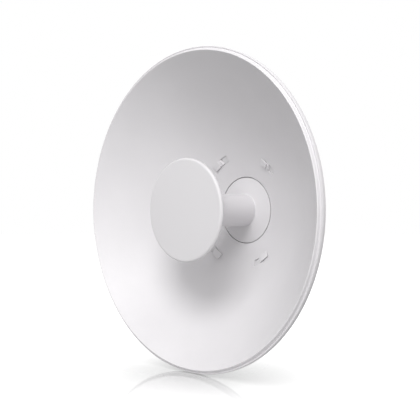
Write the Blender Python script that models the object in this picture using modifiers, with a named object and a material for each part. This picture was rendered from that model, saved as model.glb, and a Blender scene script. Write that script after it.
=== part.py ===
"""Parabolic dish antenna for a microwave radio link, with its feed, rear housing and tilting mount.

The dish looks along -Y, +X is to the right seen from the front and +Z is up. The dish axis is the
Y axis, and the origin lies on the flat rear face of the bracket that goes on a pole or a wall.
Every piece hangs on one empty that is turned so that, in its own axes, x is right, y is up and
z is forward along the dish axis. A station is a distance forward of the mounting face.
"""
import math

import bmesh
import bpy
from mathutils import Matrix, Vector

# Overall sizes
DISH_DIAMETER = 0.420
TOTAL_DEPTH = 0.230

# The gap left between pieces that touch, how far joined solids run into each other, and how far
# a cutter reaches past the faces that it cuts
GAP = 0.0003
OVERLAP = 0.0005
CUT_PAST = 0.004
MERGE_DISTANCE = 0.00001

# Reflector: a pressed bowl with a stepped, turned-down rim
SHEET = 0.0015
CAP_STANDS_PROUD = 0.0106
RIM_STATION = TOTAL_DEPTH - CAP_STANDS_PROUD
RIM_WIDTH = 0.0064
RIM_DEPTH = 0.0089
BOWL_FOCAL_LENGTH = 0.0929
MOUTH_RADIUS = DISH_DIAMETER / 2 - RIM_WIDTH
LIP_HEIGHT = 0.0006
VERTEX_STATION = RIM_STATION - LIP_HEIGHT - MOUTH_RADIUS ** 2 / (4 * BOWL_FOCAL_LENGTH)
HUB_HOLE_RADIUS = 0.0456
BOWL_RINGS = 12
TURN_STEPS = 64

# Feed: a round flange whose face sweeps up to the tube, in one moulding
FLANGE_RADIUS = 0.0449
FLANGE_STATION = RIM_STATION - 0.1066
FLANGE_THICKNESS = 0.0042
FLANGE_EDGE_ROUND = 0.0005
FLANGE_RISE = 0.0043
FLANGE_SWEEP_POWER = 1.15
FLANGE_SWEEP_POINTS = 4
TUBE_RADIUS_BACK = 0.0221
TUBE_RADIUS_FRONT = 0.0214
FEED_STEPS = 40

# Subreflector: a round cap with a bull-nosed edge over a metal plate and a dielectric cone
CAP_RADIUS = 0.067
CAP_THICKNESS = 0.0065
PLATE_RADIUS = 0.0595
PLATE_THICKNESS = 0.0027
CONE_RADIUS = 0.034
CONE_LENGTH = 0.0165
CONE_RIM_INSET = 0.001
CONE_RIM_HEIGHT = 0.003
CONE_TIP_INSET = 0.0004
CAP_STEPS = 56

# Bayonet lugs of the rear housing, which reach through slots in the bowl. A span runs clockwise
# round the lug circle from the lug's own angle, and heights are square to the bowl.
LUG_CIRCLE_RADIUS = 0.0759
LUG_ANGLES = {
    "bayonet_lug_upper_left": 124.4,
    "bayonet_lug_upper_right": 54.4,
    "bayonet_lug_lower_left": -125.6,
    "bayonet_lug_lower_right": -55.6,
}
LUG_WIDTH = 0.0088
LUG_POINTS = 5
TONGUE_SPAN = (-0.0074, 0.0050)
TONGUE_HEIGHTS = (0.0006, 0.0025)
NECK_SPAN = (0.0030, 0.0080)
NECK_WIDTH = 0.0080
NECK_HEIGHTS = (-0.0015, 0.0013)
SLOT_WIDTH = 0.0093
SLOT_SPAN = (0.0014, 0.0200)
SLOT_HEIGHTS = (-0.0120, 0.0120)
PAD_WIDTH = 0.0085
PAD_SPAN = (0.0098, 0.0196)
PAD_HEIGHTS = (-0.0040, -0.0006)

# Rear housing
HOUSING_RADIUS = 0.0840
HOUSING_BACK_RADIUS = 0.0660
HOUSING_BACK_STATION = 0.0665
HOUSING_CLEARANCE = 0.0004
HOUSING_FRONT_MARGIN = 0.004
HOUSING_FRONT_INSET = 0.0025
# The drum's side as distances inside its radius and behind its front edge, then its rounded
# shoulder as distances inside its radius and forward of its back face
HOUSING_SIDE = [(0.0, 0.0020), (0.0010, 0.0180)]
HOUSING_SHOULDER = [(0.0050, 0.0120), (0.0095, 0.0045)]
HOUSING_BACK_EDGE_OUT = 0.0035
HOUSING_BACK_EDGE_UP = 0.0010

# Port hood under the housing
HOOD_WIDTH = 0.064
HOOD_TOP = -0.0500
HOOD_BOTTOM = -0.098
HOOD_BACK_STATION = 0.0625
HOOD_FRONT_STATION = 0.1060
HOOD_ROUND = 0.004
PORT_COVER_WIDTH = 0.052
PORT_COVER_HEIGHT = 0.036
PORT_COVER_THICKNESS = 0.0025
PORT_COVER_UP = -0.0765
PORT_COVER_ROUND = 0.001
LATCH_HALF_WIDTH = 0.009
LATCH_LOW = 0.004
LATCH_HIGH = 0.011
LATCH_THICKNESS = 0.0028
LATCH_ROUND = 0.0009

# Cable grommet, lamp window and earthing screw on the hood
GROMMET_RADIUS = 0.0085
GROMMET_HEIGHT = 0.005
GROMMET_BORE_RADIUS = 0.0035
GROMMET_SKIN = 0.0012
WINDOW_UP = -0.0910
WINDOW_HALF_HEIGHT = 0.0025
WINDOW_STATION = 0.0900
WINDOW_HALF_LENGTH = 0.0100
WINDOW_THICKNESS = 0.0012
WINDOW_ROUND = 0.0005
GROUND_SCREW_UP = -0.0890
GROUND_SCREW_STATION = 0.0900
GROUND_WASHER_RADIUS = 0.0052
GROUND_WASHER_THICKNESS = 0.0012
GROUND_HEAD_RADIUS = 0.0036
GROUND_HEAD_PROUD = 0.0040
GROUND_SLOT_HALF_LENGTH = 0.0040
GROUND_SLOT_HALF_WIDTH = 0.0005
GROUND_SLOT_DEPTH = 0.0010

# Tilt bracket, bolted to the housing, and pole bracket between its ears
PLATE_STEEL = 0.0025
TILT_BASE_HALF_HEIGHT = 0.046
TILT_INNER_HALF_WIDTH = 0.0332
TILT_EAR_BACK_STATION = 0.0150
TILT_SWING = 13.0
POLE_OUTER_HALF_WIDTH = TILT_INNER_HALF_WIDTH - GAP
POLE_WEB_THICKNESS = 0.003
POLE_WEB_HALF_HEIGHT = 0.060
POLE_EAR_FRONT_STATION = 0.0500
BOLT_STATION = 0.0350
PIVOT_UP = 0.022
LOCK_UP = -0.022
EAR_ROUND = 0.014
EAR_HALF_HEIGHT = PIVOT_UP + EAR_ROUND
EAR_ROOT_INSET = 0.0002
EAR_CUT_HALF_WIDTH = 0.05
BAND_SLOT_UP = 0.043
BAND_SLOT_WIDTH = 0.0035
BAND_SLOT_HEIGHT = 0.016
BAND_SLOT_OFFSET = 0.021
WALL_HOLE_UP = 0.022
WALL_HOLE_RADIUS = 0.0034

# Fasteners
BOLT_RADIUS = 0.0040
BOLT_HOLE_RADIUS = 0.0043
BOLT_HEAD_RADIUS = 0.0072
BOLT_HEAD_HEIGHT = 0.0052
WASHER_RADIUS = 0.0088
WASHER_THICKNESS = 0.0014
NUT_HEIGHT = 0.0062
SCREW_RADIUS = 0.0025
SCREW_HOLE_RADIUS = 0.0028
SCREW_HEAD_RADIUS = 0.0048
SCREW_HEAD_HEIGHT = 0.0028
SCREW_DEPTH = 0.010
SCREW_TIP_GAP = 0.001
SCREW_ACROSS = 0.020
SCREW_UP = 0.035
RECESS_HALF_LENGTH = 0.0028
RECESS_HALF_WIDTH = 0.0005
RECESS_DEPTH = 0.0014
NUT_TO_BOLT_END = 0.004
HEX_TURN = math.pi / 6


def clear_scene():
    for old in list(bpy.data.objects):
        bpy.data.objects.remove(old, do_unlink=True)


def new_collection(name):
    collection = bpy.data.collections.new(name)
    bpy.context.scene.collection.children.link(collection)
    return collection


clear_scene()
PARTS = new_collection("dish_antenna")
CUTTERS = new_collection("cutters")
FRONT_VIEW = bpy.data.objects.new("front_view", None)
FRONT_VIEW.rotation_euler = (math.pi / 2, 0, 0)
PARTS.objects.link(FRONT_VIEW)


def make_material(name, colour, roughness, metallic):
    material = bpy.data.materials.new(name)
    material.use_nodes = True
    shader = material.node_tree.nodes["Principled BSDF"]
    shader.inputs["Base Color"].default_value = (*colour, 1)
    shader.inputs["Roughness"].default_value = roughness
    shader.inputs["Metallic"].default_value = metallic
    return material


PAINT = make_material("white_satin_paint", (0.80, 0.80, 0.79), 0.38, 0.0)
PLASTIC = make_material("white_plastic", (0.78, 0.78, 0.77), 0.42, 0.0)
GREY_PLASTIC = make_material("grey_plastic", (0.30, 0.31, 0.32), 0.55, 0.0)
METAL = make_material("bare_aluminium", (0.70, 0.71, 0.72), 0.35, 1.0)
ZINC = make_material("zinc_steel", (0.62, 0.63, 0.64), 0.40, 1.0)
WINDOW = make_material("clear_window", (0.55, 0.60, 0.62), 0.15, 0.0)
RUBBER = make_material("black_rubber", (0.03, 0.03, 0.03), 0.75, 0.0)


def own_material(base, name):
    material = base.copy()
    material.name = name + "_material"
    return material


def add_object(name, mesh, base_material=None, collection=None):
    """Puts a mesh in the scene, in the front view's axes."""
    item = bpy.data.objects.new(name, mesh)
    if base_material:
        mesh.materials.append(own_material(base_material, name))
    (collection or PARTS).objects.link(item)
    item.parent = FRONT_VIEW
    return item


def as_cutter(item):
    item.hide_render = True
    item.display_type = "WIRE"
    return item


def turned(name, outline, steps, base_material=None, collection=None, closed=False):
    """Turns an outline of (radius, station) points round the dish axis with a Screw modifier."""
    mesh = bpy.data.meshes.new(name)
    count = len(outline)
    edges = [(i, i + 1) for i in range(count - 1)]
    if closed:
        edges.append((count - 1, 0))
    mesh.from_pydata([(radius, 0, station) for radius, station in outline], edges, [])
    item = add_object(name, mesh, base_material, collection)
    screw = item.modifiers.new("turn", "SCREW")
    screw.axis = "Z"
    screw.angle = 2 * math.pi
    screw.steps = steps
    screw.render_steps = steps
    screw.use_merge_vertices = True
    screw.merge_threshold = MERGE_DISTANCE
    screw.use_smooth_shade = True
    return item


def box(name, low, high, base_material=None, collection=None, rounding=0.0, segments=2):
    """A box between two corners, with its edges rounded where a rounding is given."""
    mesh = bpy.data.meshes.new(name)
    shape = bmesh.new()
    bmesh.ops.create_cube(shape, size=1)
    low = Vector(low)
    high = Vector(high)
    bmesh.ops.scale(shape, vec=high - low, verts=shape.verts)
    shape.to_mesh(mesh)
    shape.free()
    item = add_object(name, mesh, base_material, collection)
    item.location = (low + high) / 2
    if rounding:
        bevel = item.modifiers.new("rounding", "BEVEL")
        bevel.width = rounding
        bevel.segments = segments
        bevel.limit_method = "ANGLE"
    return item


def rod(name, radius, start, end, base_material=None, collection=None, sides=16, turn=0.0):
    """A round or many-sided rod from one point to another."""
    start = Vector(start)
    end = Vector(end)
    mesh = bpy.data.meshes.new(name)
    shape = bmesh.new()
    bmesh.ops.create_cone(shape, cap_ends=True, segments=sides, radius1=radius, radius2=radius,
                          depth=(end - start).length)
    bmesh.ops.rotate(shape, cent=(0, 0, 0), matrix=Matrix.Rotation(turn, 3, "Z"), verts=shape.verts)
    shape.to_mesh(mesh)
    shape.free()
    item = add_object(name, mesh, base_material, collection)
    item.location = (start + end) / 2
    item.rotation_mode = "QUATERNION"
    item.rotation_quaternion = (end - start).to_track_quat("Z", "Y")
    return item


def plate(name, outline, thickness, base_material=None, collection=None):
    """A flat plate from an outline in x and y, extruded along z about its middle."""
    curve = bpy.data.curves.new(name + "_outline", "CURVE")
    curve.dimensions = "2D"
    curve.fill_mode = "BOTH"
    curve.extrude = thickness / 2
    spline = curve.splines.new("POLY")
    spline.points.add(len(outline) - 1)
    for point, place in zip(spline.points, outline):
        point.co = (place[0], place[1], 0, 1)
    spline.use_cyclic_u = True
    drawn = bpy.data.objects.new(name + "_outline", curve)
    CUTTERS.objects.link(drawn)
    bpy.context.view_layer.update()
    evaluated = drawn.evaluated_get(bpy.context.evaluated_depsgraph_get())
    mesh = bpy.data.meshes.new_from_object(evaluated)
    mesh.name = name
    bpy.data.objects.remove(drawn, do_unlink=True)
    shape = bmesh.new()
    shape.from_mesh(mesh)
    bmesh.ops.remove_doubles(shape, verts=shape.verts, dist=MERGE_DISTANCE)
    bmesh.ops.recalc_face_normals(shape, faces=shape.faces)
    shape.to_mesh(mesh)
    shape.free()
    return add_object(name, mesh, base_material, collection)


def boolean(item, tool, operation):
    modifier = item.modifiers.new(operation.lower(), "BOOLEAN")
    modifier.operation = operation
    modifier.solver = "EXACT"
    modifier.object = as_cutter(tool)


def cut(item, tool):
    boolean(item, tool, "DIFFERENCE")


def join(item, tool):
    boolean(item, tool, "UNION")


def arc(centre, radius, start_degrees, end_degrees, count):
    """Points on an arc, both ends included."""
    points = []
    for i in range(count):
        angle = math.radians(start_degrees + (end_degrees - start_degrees) * i / (count - 1))
        points.append((centre[0] + radius * math.cos(angle), centre[1] + radius * math.sin(angle)))
    return points


def bowl_front(radius):
    """A point on the bowl's inner face."""
    return radius, VERTEX_STATION + radius ** 2 / (4 * BOWL_FOCAL_LENGTH)


def bowl_slope(radius):
    return math.atan(radius / (2 * BOWL_FOCAL_LENGTH))


def bowl_offset(radius, distance):
    """The point behind the inner face at this radius, at a distance square to the sheet."""
    slope = bowl_slope(radius)
    front_radius, station = bowl_front(radius)
    return front_radius + distance * math.sin(slope), station - distance * math.cos(slope)


def ring_radii(inner, outer, count):
    return [inner + (outer - inner) * i / count for i in range(count + 1)]


# Reflector
# The rim's two sides, as distances outside the bowl's mouth and behind the lip: the rounded lip,
# a valley, a ridge, the turned-down wall, and the inner side of the fold
RIM_FRONT = [
    (0.0009, 0.0000),
    (0.0019, 0.0006),
    (0.0029, 0.0031),
    (0.0040, 0.0042),
    (0.0050, 0.0036),
    (0.0058, 0.0034),
    (RIM_WIDTH, 0.0044),
    (RIM_WIDTH, RIM_DEPTH),
]
RIM_BACK = [
    (RIM_WIDTH - 0.0014, RIM_DEPTH),
    (RIM_WIDTH - 0.0014, 0.0060),
    (0.0024, 0.0054),
]


def rim_points(steps):
    """Rim points as (radius, station)."""
    return [(MOUTH_RADIUS + outward, RIM_STATION - behind) for outward, behind in steps]


def make_reflector():
    radii = ring_radii(HUB_HOLE_RADIUS, MOUTH_RADIUS, BOWL_RINGS)
    front = [bowl_front(radius) for radius in radii]
    back = [bowl_offset(radius, SHEET) for radius in reversed(radii)]
    outline = front + rim_points(RIM_FRONT) + rim_points(RIM_BACK) + back
    reflector = turned("reflector", outline, TURN_STEPS, PAINT, closed=True)
    for name, degrees in LUG_ANGLES.items():
        cut(reflector, lug_part(name + "_slot_cutter", degrees, SLOT_SPAN, SLOT_WIDTH, SLOT_HEIGHTS,
                                collection=CUTTERS))
    return reflector


# Bayonet lugs
def lug_frame(degrees):
    """Axes of a lug: x clockwise along the lug circle, y outward along the bowl, z square to it."""
    angle = math.radians(degrees)
    slope = bowl_slope(LUG_CIRCLE_RADIUS)
    outward = Vector((math.cos(angle), math.sin(angle), 0))
    clockwise = Vector((math.sin(angle), -math.cos(angle), 0))
    forward = Vector((0, 0, 1))
    along = outward * math.cos(slope) + forward * math.sin(slope)
    square = forward * math.cos(slope) - outward * math.sin(slope)
    place = outward * LUG_CIRCLE_RADIUS + forward * bowl_front(LUG_CIRCLE_RADIUS)[1]
    axes = Matrix((clockwise, along, square)).transposed()
    return Matrix.Translation(place) @ axes.to_4x4()


def lug_part(name, degrees, span, width, heights, base_material=None, collection=None):
    """A flat piece of a ring that lies along the lug circle, from its span, width and heights."""
    middle = (span[0] + span[1]) / 2
    bend = LUG_CIRCLE_RADIUS / math.cos(bowl_slope(LUG_CIRCLE_RADIUS))
    half_turn = math.degrees((span[1] - span[0]) / 2 / bend)
    centre = (0, -bend)
    outline = (arc(centre, bend + width / 2, 90 + half_turn, 90 - half_turn, LUG_POINTS)
               + arc(centre, bend - width / 2, 90 - half_turn, 90 + half_turn, LUG_POINTS))
    item = plate(name, outline, heights[1] - heights[0], base_material, collection)
    turned_on = degrees - math.degrees(middle / LUG_CIRCLE_RADIUS)
    item.matrix_basis = lug_frame(turned_on) @ Matrix.Translation((0, 0, (heights[0] + heights[1]) / 2))
    return item


def make_lug(name, degrees):
    """A tongue that lies on the bowl's inner face, with a lower neck that goes through the slot."""
    lug = lug_part(name, degrees, TONGUE_SPAN, LUG_WIDTH, TONGUE_HEIGHTS, PLASTIC)
    join(lug, lug_part(name + "_neck", degrees, NECK_SPAN, NECK_WIDTH, NECK_HEIGHTS,
                       collection=CUTTERS))
    return lug


# Feed
def make_feed():
    back = FLANGE_STATION - FLANGE_THICKNESS
    tube_front = cone_back_station() - GAP
    face_radius = FLANGE_RADIUS - FLANGE_EDGE_ROUND
    face = []
    for radius in ring_radii(TUBE_RADIUS_BACK, face_radius, FLANGE_SWEEP_POINTS):
        inward = (face_radius - radius) / (face_radius - TUBE_RADIUS_BACK)
        face.append((radius, FLANGE_STATION + FLANGE_RISE * inward ** FLANGE_SWEEP_POWER))
    horn_outline = [
        (0, tube_front),
        (TUBE_RADIUS_FRONT, tube_front),
        *face,
        (FLANGE_RADIUS, FLANGE_STATION - FLANGE_EDGE_ROUND),
        (FLANGE_RADIUS, back),
        (0, back),
    ]
    turned("feed_horn", horn_outline, FEED_STEPS, PLASTIC)
    cone_outline = [
        (0, plate_back_station() - GAP),
        (CONE_RADIUS, plate_back_station() - GAP),
        (CONE_RADIUS - CONE_RIM_INSET, plate_back_station() - CONE_RIM_HEIGHT),
        (TUBE_RADIUS_FRONT - CONE_TIP_INSET, cone_back_station()),
        (0, cone_back_station()),
    ]
    turned("feed_cone", cone_outline, FEED_STEPS, PLASTIC)


def cap_back_station():
    return TOTAL_DEPTH - CAP_THICKNESS


def plate_back_station():
    return cap_back_station() - GAP - PLATE_THICKNESS


def cone_back_station():
    return plate_back_station() - CONE_LENGTH


def make_subreflector():
    nose = CAP_THICKNESS / 2
    middle = (CAP_RADIUS - nose, TOTAL_DEPTH - nose)
    cap_outline = [(0, TOTAL_DEPTH)] + arc(middle, nose, 90, -90, 9) + [(0, cap_back_station())]
    turned("subreflector_cap", cap_outline, CAP_STEPS, PLASTIC)
    front = cap_back_station() - GAP
    plate_outline = [
        (0, front),
        (PLATE_RADIUS, front),
        (PLATE_RADIUS, plate_back_station()),
        (0, plate_back_station()),
    ]
    turned("subreflector_plate", plate_outline, CAP_STEPS, METAL)


# Rear housing and what sits on it
def housing_outline(extra=0.0):
    """The drum behind the bowl, which an extra size makes into the cutter for its neighbours."""
    front_offset = SHEET + HOUSING_CLEARANCE - extra
    radii = [radius for radius in ring_radii(HUB_HOLE_RADIUS, MOUTH_RADIUS, BOWL_RINGS)
             if radius < HOUSING_RADIUS - HOUSING_FRONT_MARGIN]
    pocket = FLANGE_STATION - FLANGE_THICKNESS - GAP
    edge_radius, edge_station = bowl_offset(HOUSING_RADIUS - HOUSING_FRONT_INSET, front_offset)
    side = HOUSING_RADIUS + extra
    back = HOUSING_BACK_STATION - extra
    outline = [(0, pocket), (HUB_HOLE_RADIUS, pocket)]
    outline += [bowl_offset(radius, front_offset) for radius in radii]
    outline.append((edge_radius, edge_station))
    outline += [(side - inset, edge_station - behind) for inset, behind in HOUSING_SIDE]
    outline += [(side - inset, HOUSING_BACK_STATION + up) for inset, up in HOUSING_SHOULDER]
    outline += [
        (HOUSING_BACK_RADIUS + HOUSING_BACK_EDGE_OUT + extra, back + HOUSING_BACK_EDGE_UP),
        (HOUSING_BACK_RADIUS, back),
        (0, back),
    ]
    return outline


def screw_places():
    places = []
    for up in (SCREW_UP, -SCREW_UP):
        for across in (-SCREW_ACROSS, SCREW_ACROSS):
            places.append((across, up))
    return places


def make_housing():
    housing = turned("rear_housing", housing_outline(), TURN_STEPS, PLASTIC)
    for number, (across, up) in enumerate(screw_places(), 1):
        hole = rod("housing_hole_%d" % number, SCREW_HOLE_RADIUS,
                   (across, up, HOUSING_BACK_STATION - CUT_PAST),
                   (across, up, HOUSING_BACK_STATION + SCREW_DEPTH), collection=CUTTERS, sides=12)
        cut(housing, hole)
    for name, degrees in LUG_ANGLES.items():
        join(housing, lug_part(name + "_pad", degrees, PAD_SPAN, PAD_WIDTH, PAD_HEIGHTS,
                               collection=CUTTERS))
    drum = turned("housing_clearance", housing_outline(GAP), TURN_STEPS, collection=CUTTERS)
    half = HOOD_WIDTH / 2
    hood = box("port_hood", (-half, HOOD_BOTTOM, HOOD_BACK_STATION),
               (half, HOOD_TOP, HOOD_FRONT_STATION), PLASTIC, rounding=HOOD_ROUND)
    cut(hood, drum)
    cover_half = PORT_COVER_WIDTH / 2
    cover_low = PORT_COVER_UP - PORT_COVER_HEIGHT / 2
    cover_high = PORT_COVER_UP + PORT_COVER_HEIGHT / 2
    cover_front = HOOD_BACK_STATION - GAP
    box("port_cover", (-cover_half, cover_low, cover_front - PORT_COVER_THICKNESS),
        (cover_half, cover_high, cover_front), PLASTIC, rounding=PORT_COVER_ROUND, segments=1)
    latch_front = cover_front - PORT_COVER_THICKNESS - GAP
    box("release_latch", (-LATCH_HALF_WIDTH, cover_low + LATCH_LOW, latch_front - LATCH_THICKNESS),
        (LATCH_HALF_WIDTH, cover_low + LATCH_HIGH, latch_front), GREY_PLASTIC,
        rounding=LATCH_ROUND)
    make_grommet()
    make_window()
    make_ground_screw()


def make_grommet():
    """The grommet in the hood's floor that a data lead would come in by."""
    middle = (HOOD_BACK_STATION + HOOD_FRONT_STATION) / 2
    top = HOOD_BOTTOM - GAP
    bottom = top - GROMMET_HEIGHT
    grommet = rod("cable_grommet", GROMMET_RADIUS, (0, bottom, middle), (0, top, middle), RUBBER,
                  sides=24)
    bore = rod("cable_grommet_bore", GROMMET_BORE_RADIUS, (0, bottom - CUT_PAST, middle),
               (0, top - GROMMET_SKIN, middle), collection=CUTTERS, sides=16)
    cut(grommet, bore)


def make_window():
    """The narrow lens over the signal lamps, on the side of the hood."""
    side = HOOD_WIDTH / 2 + GAP
    low = (side, WINDOW_UP - WINDOW_HALF_HEIGHT, WINDOW_STATION - WINDOW_HALF_LENGTH)
    high = (side + WINDOW_THICKNESS, WINDOW_UP + WINDOW_HALF_HEIGHT,
            WINDOW_STATION + WINDOW_HALF_LENGTH)
    box("indicator_window", low, high, WINDOW, rounding=WINDOW_ROUND, segments=1)


def make_ground_screw():
    """The earthing screw on the other side of the hood."""
    up = GROUND_SCREW_UP
    station = GROUND_SCREW_STATION
    seat = -HOOD_WIDTH / 2 - GAP
    washer_face = seat - GROUND_WASHER_THICKNESS
    head_face = seat - GROUND_HEAD_PROUD
    screw = rod("ground_screw", GROUND_WASHER_RADIUS, (washer_face, up, station),
                (seat, up, station), ZINC, sides=20)
    head = rod("ground_screw_head", GROUND_HEAD_RADIUS, (head_face, up, station),
               (washer_face + OVERLAP, up, station), collection=CUTTERS)
    slot_low = (head_face - CUT_PAST, up - GROUND_SLOT_HALF_LENGTH, station - GROUND_SLOT_HALF_WIDTH)
    slot_high = (head_face + GROUND_SLOT_DEPTH, up + GROUND_SLOT_HALF_LENGTH,
                 station + GROUND_SLOT_HALF_WIDTH)
    slot = box("ground_screw_slot", slot_low, slot_high, collection=CUTTERS)
    join(screw, head)
    cut(screw, slot)


# Brackets
def ear_outline(root, root_half_height, far):
    """An ear's outline, x the station and y up: a root in the web, and a far end with round corners."""
    sign = 1 if far > root else -1
    centre = far - sign * EAR_ROUND
    corner = EAR_HALF_HEIGHT - EAR_ROUND
    points = [(root, -root_half_height)]
    points += arc((centre, -corner), EAR_ROUND, -90, -90 + sign * 90, 5)
    points += arc((centre, corner), EAR_ROUND, 90 - sign * 90, 90, 5)
    points.append((root, root_half_height))
    return points


def ear(name, outline, thickness, across, base_material=None, collection=None):
    """A plate from an outline of stations and heights, stood square to x at a place across."""
    item = plate(name, outline, thickness, base_material, collection)
    stand = Matrix(((0, 0, -1), (0, 1, 0), (1, 0, 0))).to_4x4()
    item.matrix_basis = Matrix.Translation((across, 0, 0)) @ stand
    return item


def make_tilt_bracket():
    front = HOUSING_BACK_STATION - GAP
    outer = TILT_INNER_HALF_WIDTH + PLATE_STEEL
    bracket = box("tilt_bracket", (-outer, -TILT_BASE_HALF_HEIGHT, front - PLATE_STEEL),
                  (outer, TILT_BASE_HALF_HEIGHT, front), ZINC)
    outline = ear_outline(front, TILT_BASE_HALF_HEIGHT, TILT_EAR_BACK_STATION)
    for side in (-1, 1):
        across = side * (TILT_INNER_HALF_WIDTH + PLATE_STEEL / 2)
        join(bracket, ear("tilt_ear_%+d" % side, outline, PLATE_STEEL, across, collection=CUTTERS))
    cut(bracket, ear_hole("tilt_pivot_hole", PIVOT_UP))
    cut(bracket, arc_slot_cutter())
    for number, (across, up) in enumerate(screw_places(), 1):
        cut(bracket, rod("tilt_screw_hole_%d" % number, SCREW_HOLE_RADIUS,
                         (across, up, front - PLATE_STEEL - CUT_PAST),
                         (across, up, front + CUT_PAST), collection=CUTTERS, sides=12))


def ear_hole(name, up):
    """The cutter for a bolt's holes through both ears."""
    return rod(name, BOLT_HOLE_RADIUS, (-EAR_CUT_HALF_WIDTH, up, BOLT_STATION),
               (EAR_CUT_HALF_WIDTH, up, BOLT_STATION), collection=CUTTERS)


def arc_slot_cutter():
    """The slot for the lock bolts: an arc round the pivot, with round ends."""
    reach = PIVOT_UP - LOCK_UP
    low = -90 - TILT_SWING
    high = -90 + TILT_SWING
    centre = (BOLT_STATION, PIVOT_UP)
    inner = arc(centre, reach - BOLT_HOLE_RADIUS, low, high, 7)
    outer = arc(centre, reach + BOLT_HOLE_RADIUS, high, low, 7)
    ends = arc(centre, reach, high, low, 2)
    right = arc(ends[0], BOLT_HOLE_RADIUS, high + 180, high, 7)[1:-1]
    left = arc(ends[1], BOLT_HOLE_RADIUS, low, low - 180, 7)[1:-1]
    return ear("tilt_arc_slot", inner + right + outer + left, 2 * EAR_CUT_HALF_WIDTH, 0,
               collection=CUTTERS)


def make_pole_bracket():
    outer = POLE_OUTER_HALF_WIDTH
    bracket = box("pole_bracket", (-outer, -POLE_WEB_HALF_HEIGHT, 0),
                  (outer, POLE_WEB_HALF_HEIGHT, POLE_WEB_THICKNESS), ZINC)
    outline = ear_outline(EAR_ROOT_INSET, EAR_HALF_HEIGHT, POLE_EAR_FRONT_STATION)
    for side in (-1, 1):
        across = side * (outer - PLATE_STEEL / 2)
        join(bracket, ear("pole_ear_%+d" % side, outline, PLATE_STEEL, across, collection=CUTTERS))
    behind = -CUT_PAST
    ahead = POLE_WEB_THICKNESS + CUT_PAST
    half_width = BAND_SLOT_WIDTH / 2
    half_height = BAND_SLOT_HEIGHT / 2
    for side, place, bolt_up in ((1, "upper", PIVOT_UP), (-1, "lower", LOCK_UP)):
        cut(bracket, ear_hole("pole_ear_hole_" + place, bolt_up))
        middle = side * BAND_SLOT_UP
        for hand, across in (("left", -BAND_SLOT_OFFSET), ("right", BAND_SLOT_OFFSET)):
            cut(bracket, box("band_slot_%s_%s" % (place, hand),
                             (across - half_width, middle - half_height, behind),
                             (across + half_width, middle + half_height, ahead),
                             collection=CUTTERS))
        hole_up = side * WALL_HOLE_UP
        cut(bracket, rod("wall_hole_" + place, WALL_HOLE_RADIUS, (0, hole_up, behind),
                         (0, hole_up, ahead), collection=CUTTERS))


# Fasteners
def make_bolt(name, side, up):
    """A hexagon bolt with a washer face, from the outside of the ears inward."""
    seat = TILT_INNER_HALF_WIDTH + PLATE_STEEL + GAP
    outside = seat + WASHER_THICKNESS
    inside = POLE_OUTER_HALF_WIDTH - PLATE_STEEL - NUT_HEIGHT - NUT_TO_BOLT_END
    bolt = rod(name, WASHER_RADIUS, (side * seat, up, BOLT_STATION),
               (side * outside, up, BOLT_STATION), ZINC, sides=24)
    head = rod(name + "_head", BOLT_HEAD_RADIUS, (side * (outside - OVERLAP), up, BOLT_STATION),
               (side * (outside + BOLT_HEAD_HEIGHT), up, BOLT_STATION), collection=CUTTERS, sides=6,
               turn=HEX_TURN)
    shank = rod(name + "_shank", BOLT_RADIUS, (side * (seat + OVERLAP), up, BOLT_STATION),
                (side * inside, up, BOLT_STATION), collection=CUTTERS)
    join(bolt, head)
    join(bolt, shank)


def make_nut(name, side, up):
    seat = POLE_OUTER_HALF_WIDTH - PLATE_STEEL - GAP
    inner = seat - NUT_HEIGHT
    nut = rod(name, BOLT_HEAD_RADIUS, (side * inner, up, BOLT_STATION),
              (side * seat, up, BOLT_STATION), ZINC, sides=6, turn=HEX_TURN)
    bore = rod(name + "_bore", BOLT_HOLE_RADIUS, (side * (inner - CUT_PAST), up, BOLT_STATION),
               (side * (seat + CUT_PAST), up, BOLT_STATION), collection=CUTTERS)
    cut(nut, bore)


def make_screw(name, across, up):
    """A bracket screw with a round head and a cross recess."""
    seat = HOUSING_BACK_STATION - GAP - PLATE_STEEL - GAP
    head_back = seat - SCREW_HEAD_HEIGHT
    tip = HOUSING_BACK_STATION + SCREW_DEPTH - SCREW_TIP_GAP
    screw = rod(name, SCREW_HEAD_RADIUS, (across, up, head_back), (across, up, seat), ZINC, sides=20)
    shank = rod(name + "_shank", SCREW_RADIUS, (across, up, seat - OVERLAP), (across, up, tip),
                collection=CUTTERS, sides=12)
    join(screw, shank)
    bars = (
        ("across", RECESS_HALF_LENGTH, RECESS_HALF_WIDTH),
        ("upright", RECESS_HALF_WIDTH, RECESS_HALF_LENGTH),
    )
    for bar, wide, high in bars:
        cut(screw, box("%s_recess_%s" % (name, bar), (across - wide, up - high, head_back - CUT_PAST),
                       (across + wide, up + high, head_back + RECESS_DEPTH), collection=CUTTERS))


def make_fasteners():
    names = ("upper_left", "upper_right", "lower_left", "lower_right")
    for name, (across, up) in zip(names, screw_places()):
        make_screw("bracket_screw_" + name, across, up)
    for side, hand in ((-1, "left"), (1, "right")):
        for up, job in ((PIVOT_UP, "pivot"), (LOCK_UP, "lock")):
            make_bolt("%s_bolt_%s" % (job, hand), side, up)
            make_nut("%s_nut_%s" % (job, hand), side, up)


make_reflector()
for lug_name, lug_degrees in LUG_ANGLES.items():
    make_lug(lug_name, lug_degrees)
make_feed()
make_subreflector()
make_housing()
make_tilt_bracket()
make_pole_bracket()
make_fasteners()
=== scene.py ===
"""Dresses a small parabolic dish antenna: fine meshes, procedural materials, soft studio light.

Every piece is built in the front view's axes, x to the right, y up and z forward along the dish
axis, and then turned into the frame, where the dish looks along -Y. A station is a distance
forward of the bracket's rear face. Lengths are in metres.
"""
from math import atan, cos, pi, radians, sin, tan

import bmesh
import bpy
from mathutils import Matrix, Vector


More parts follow.
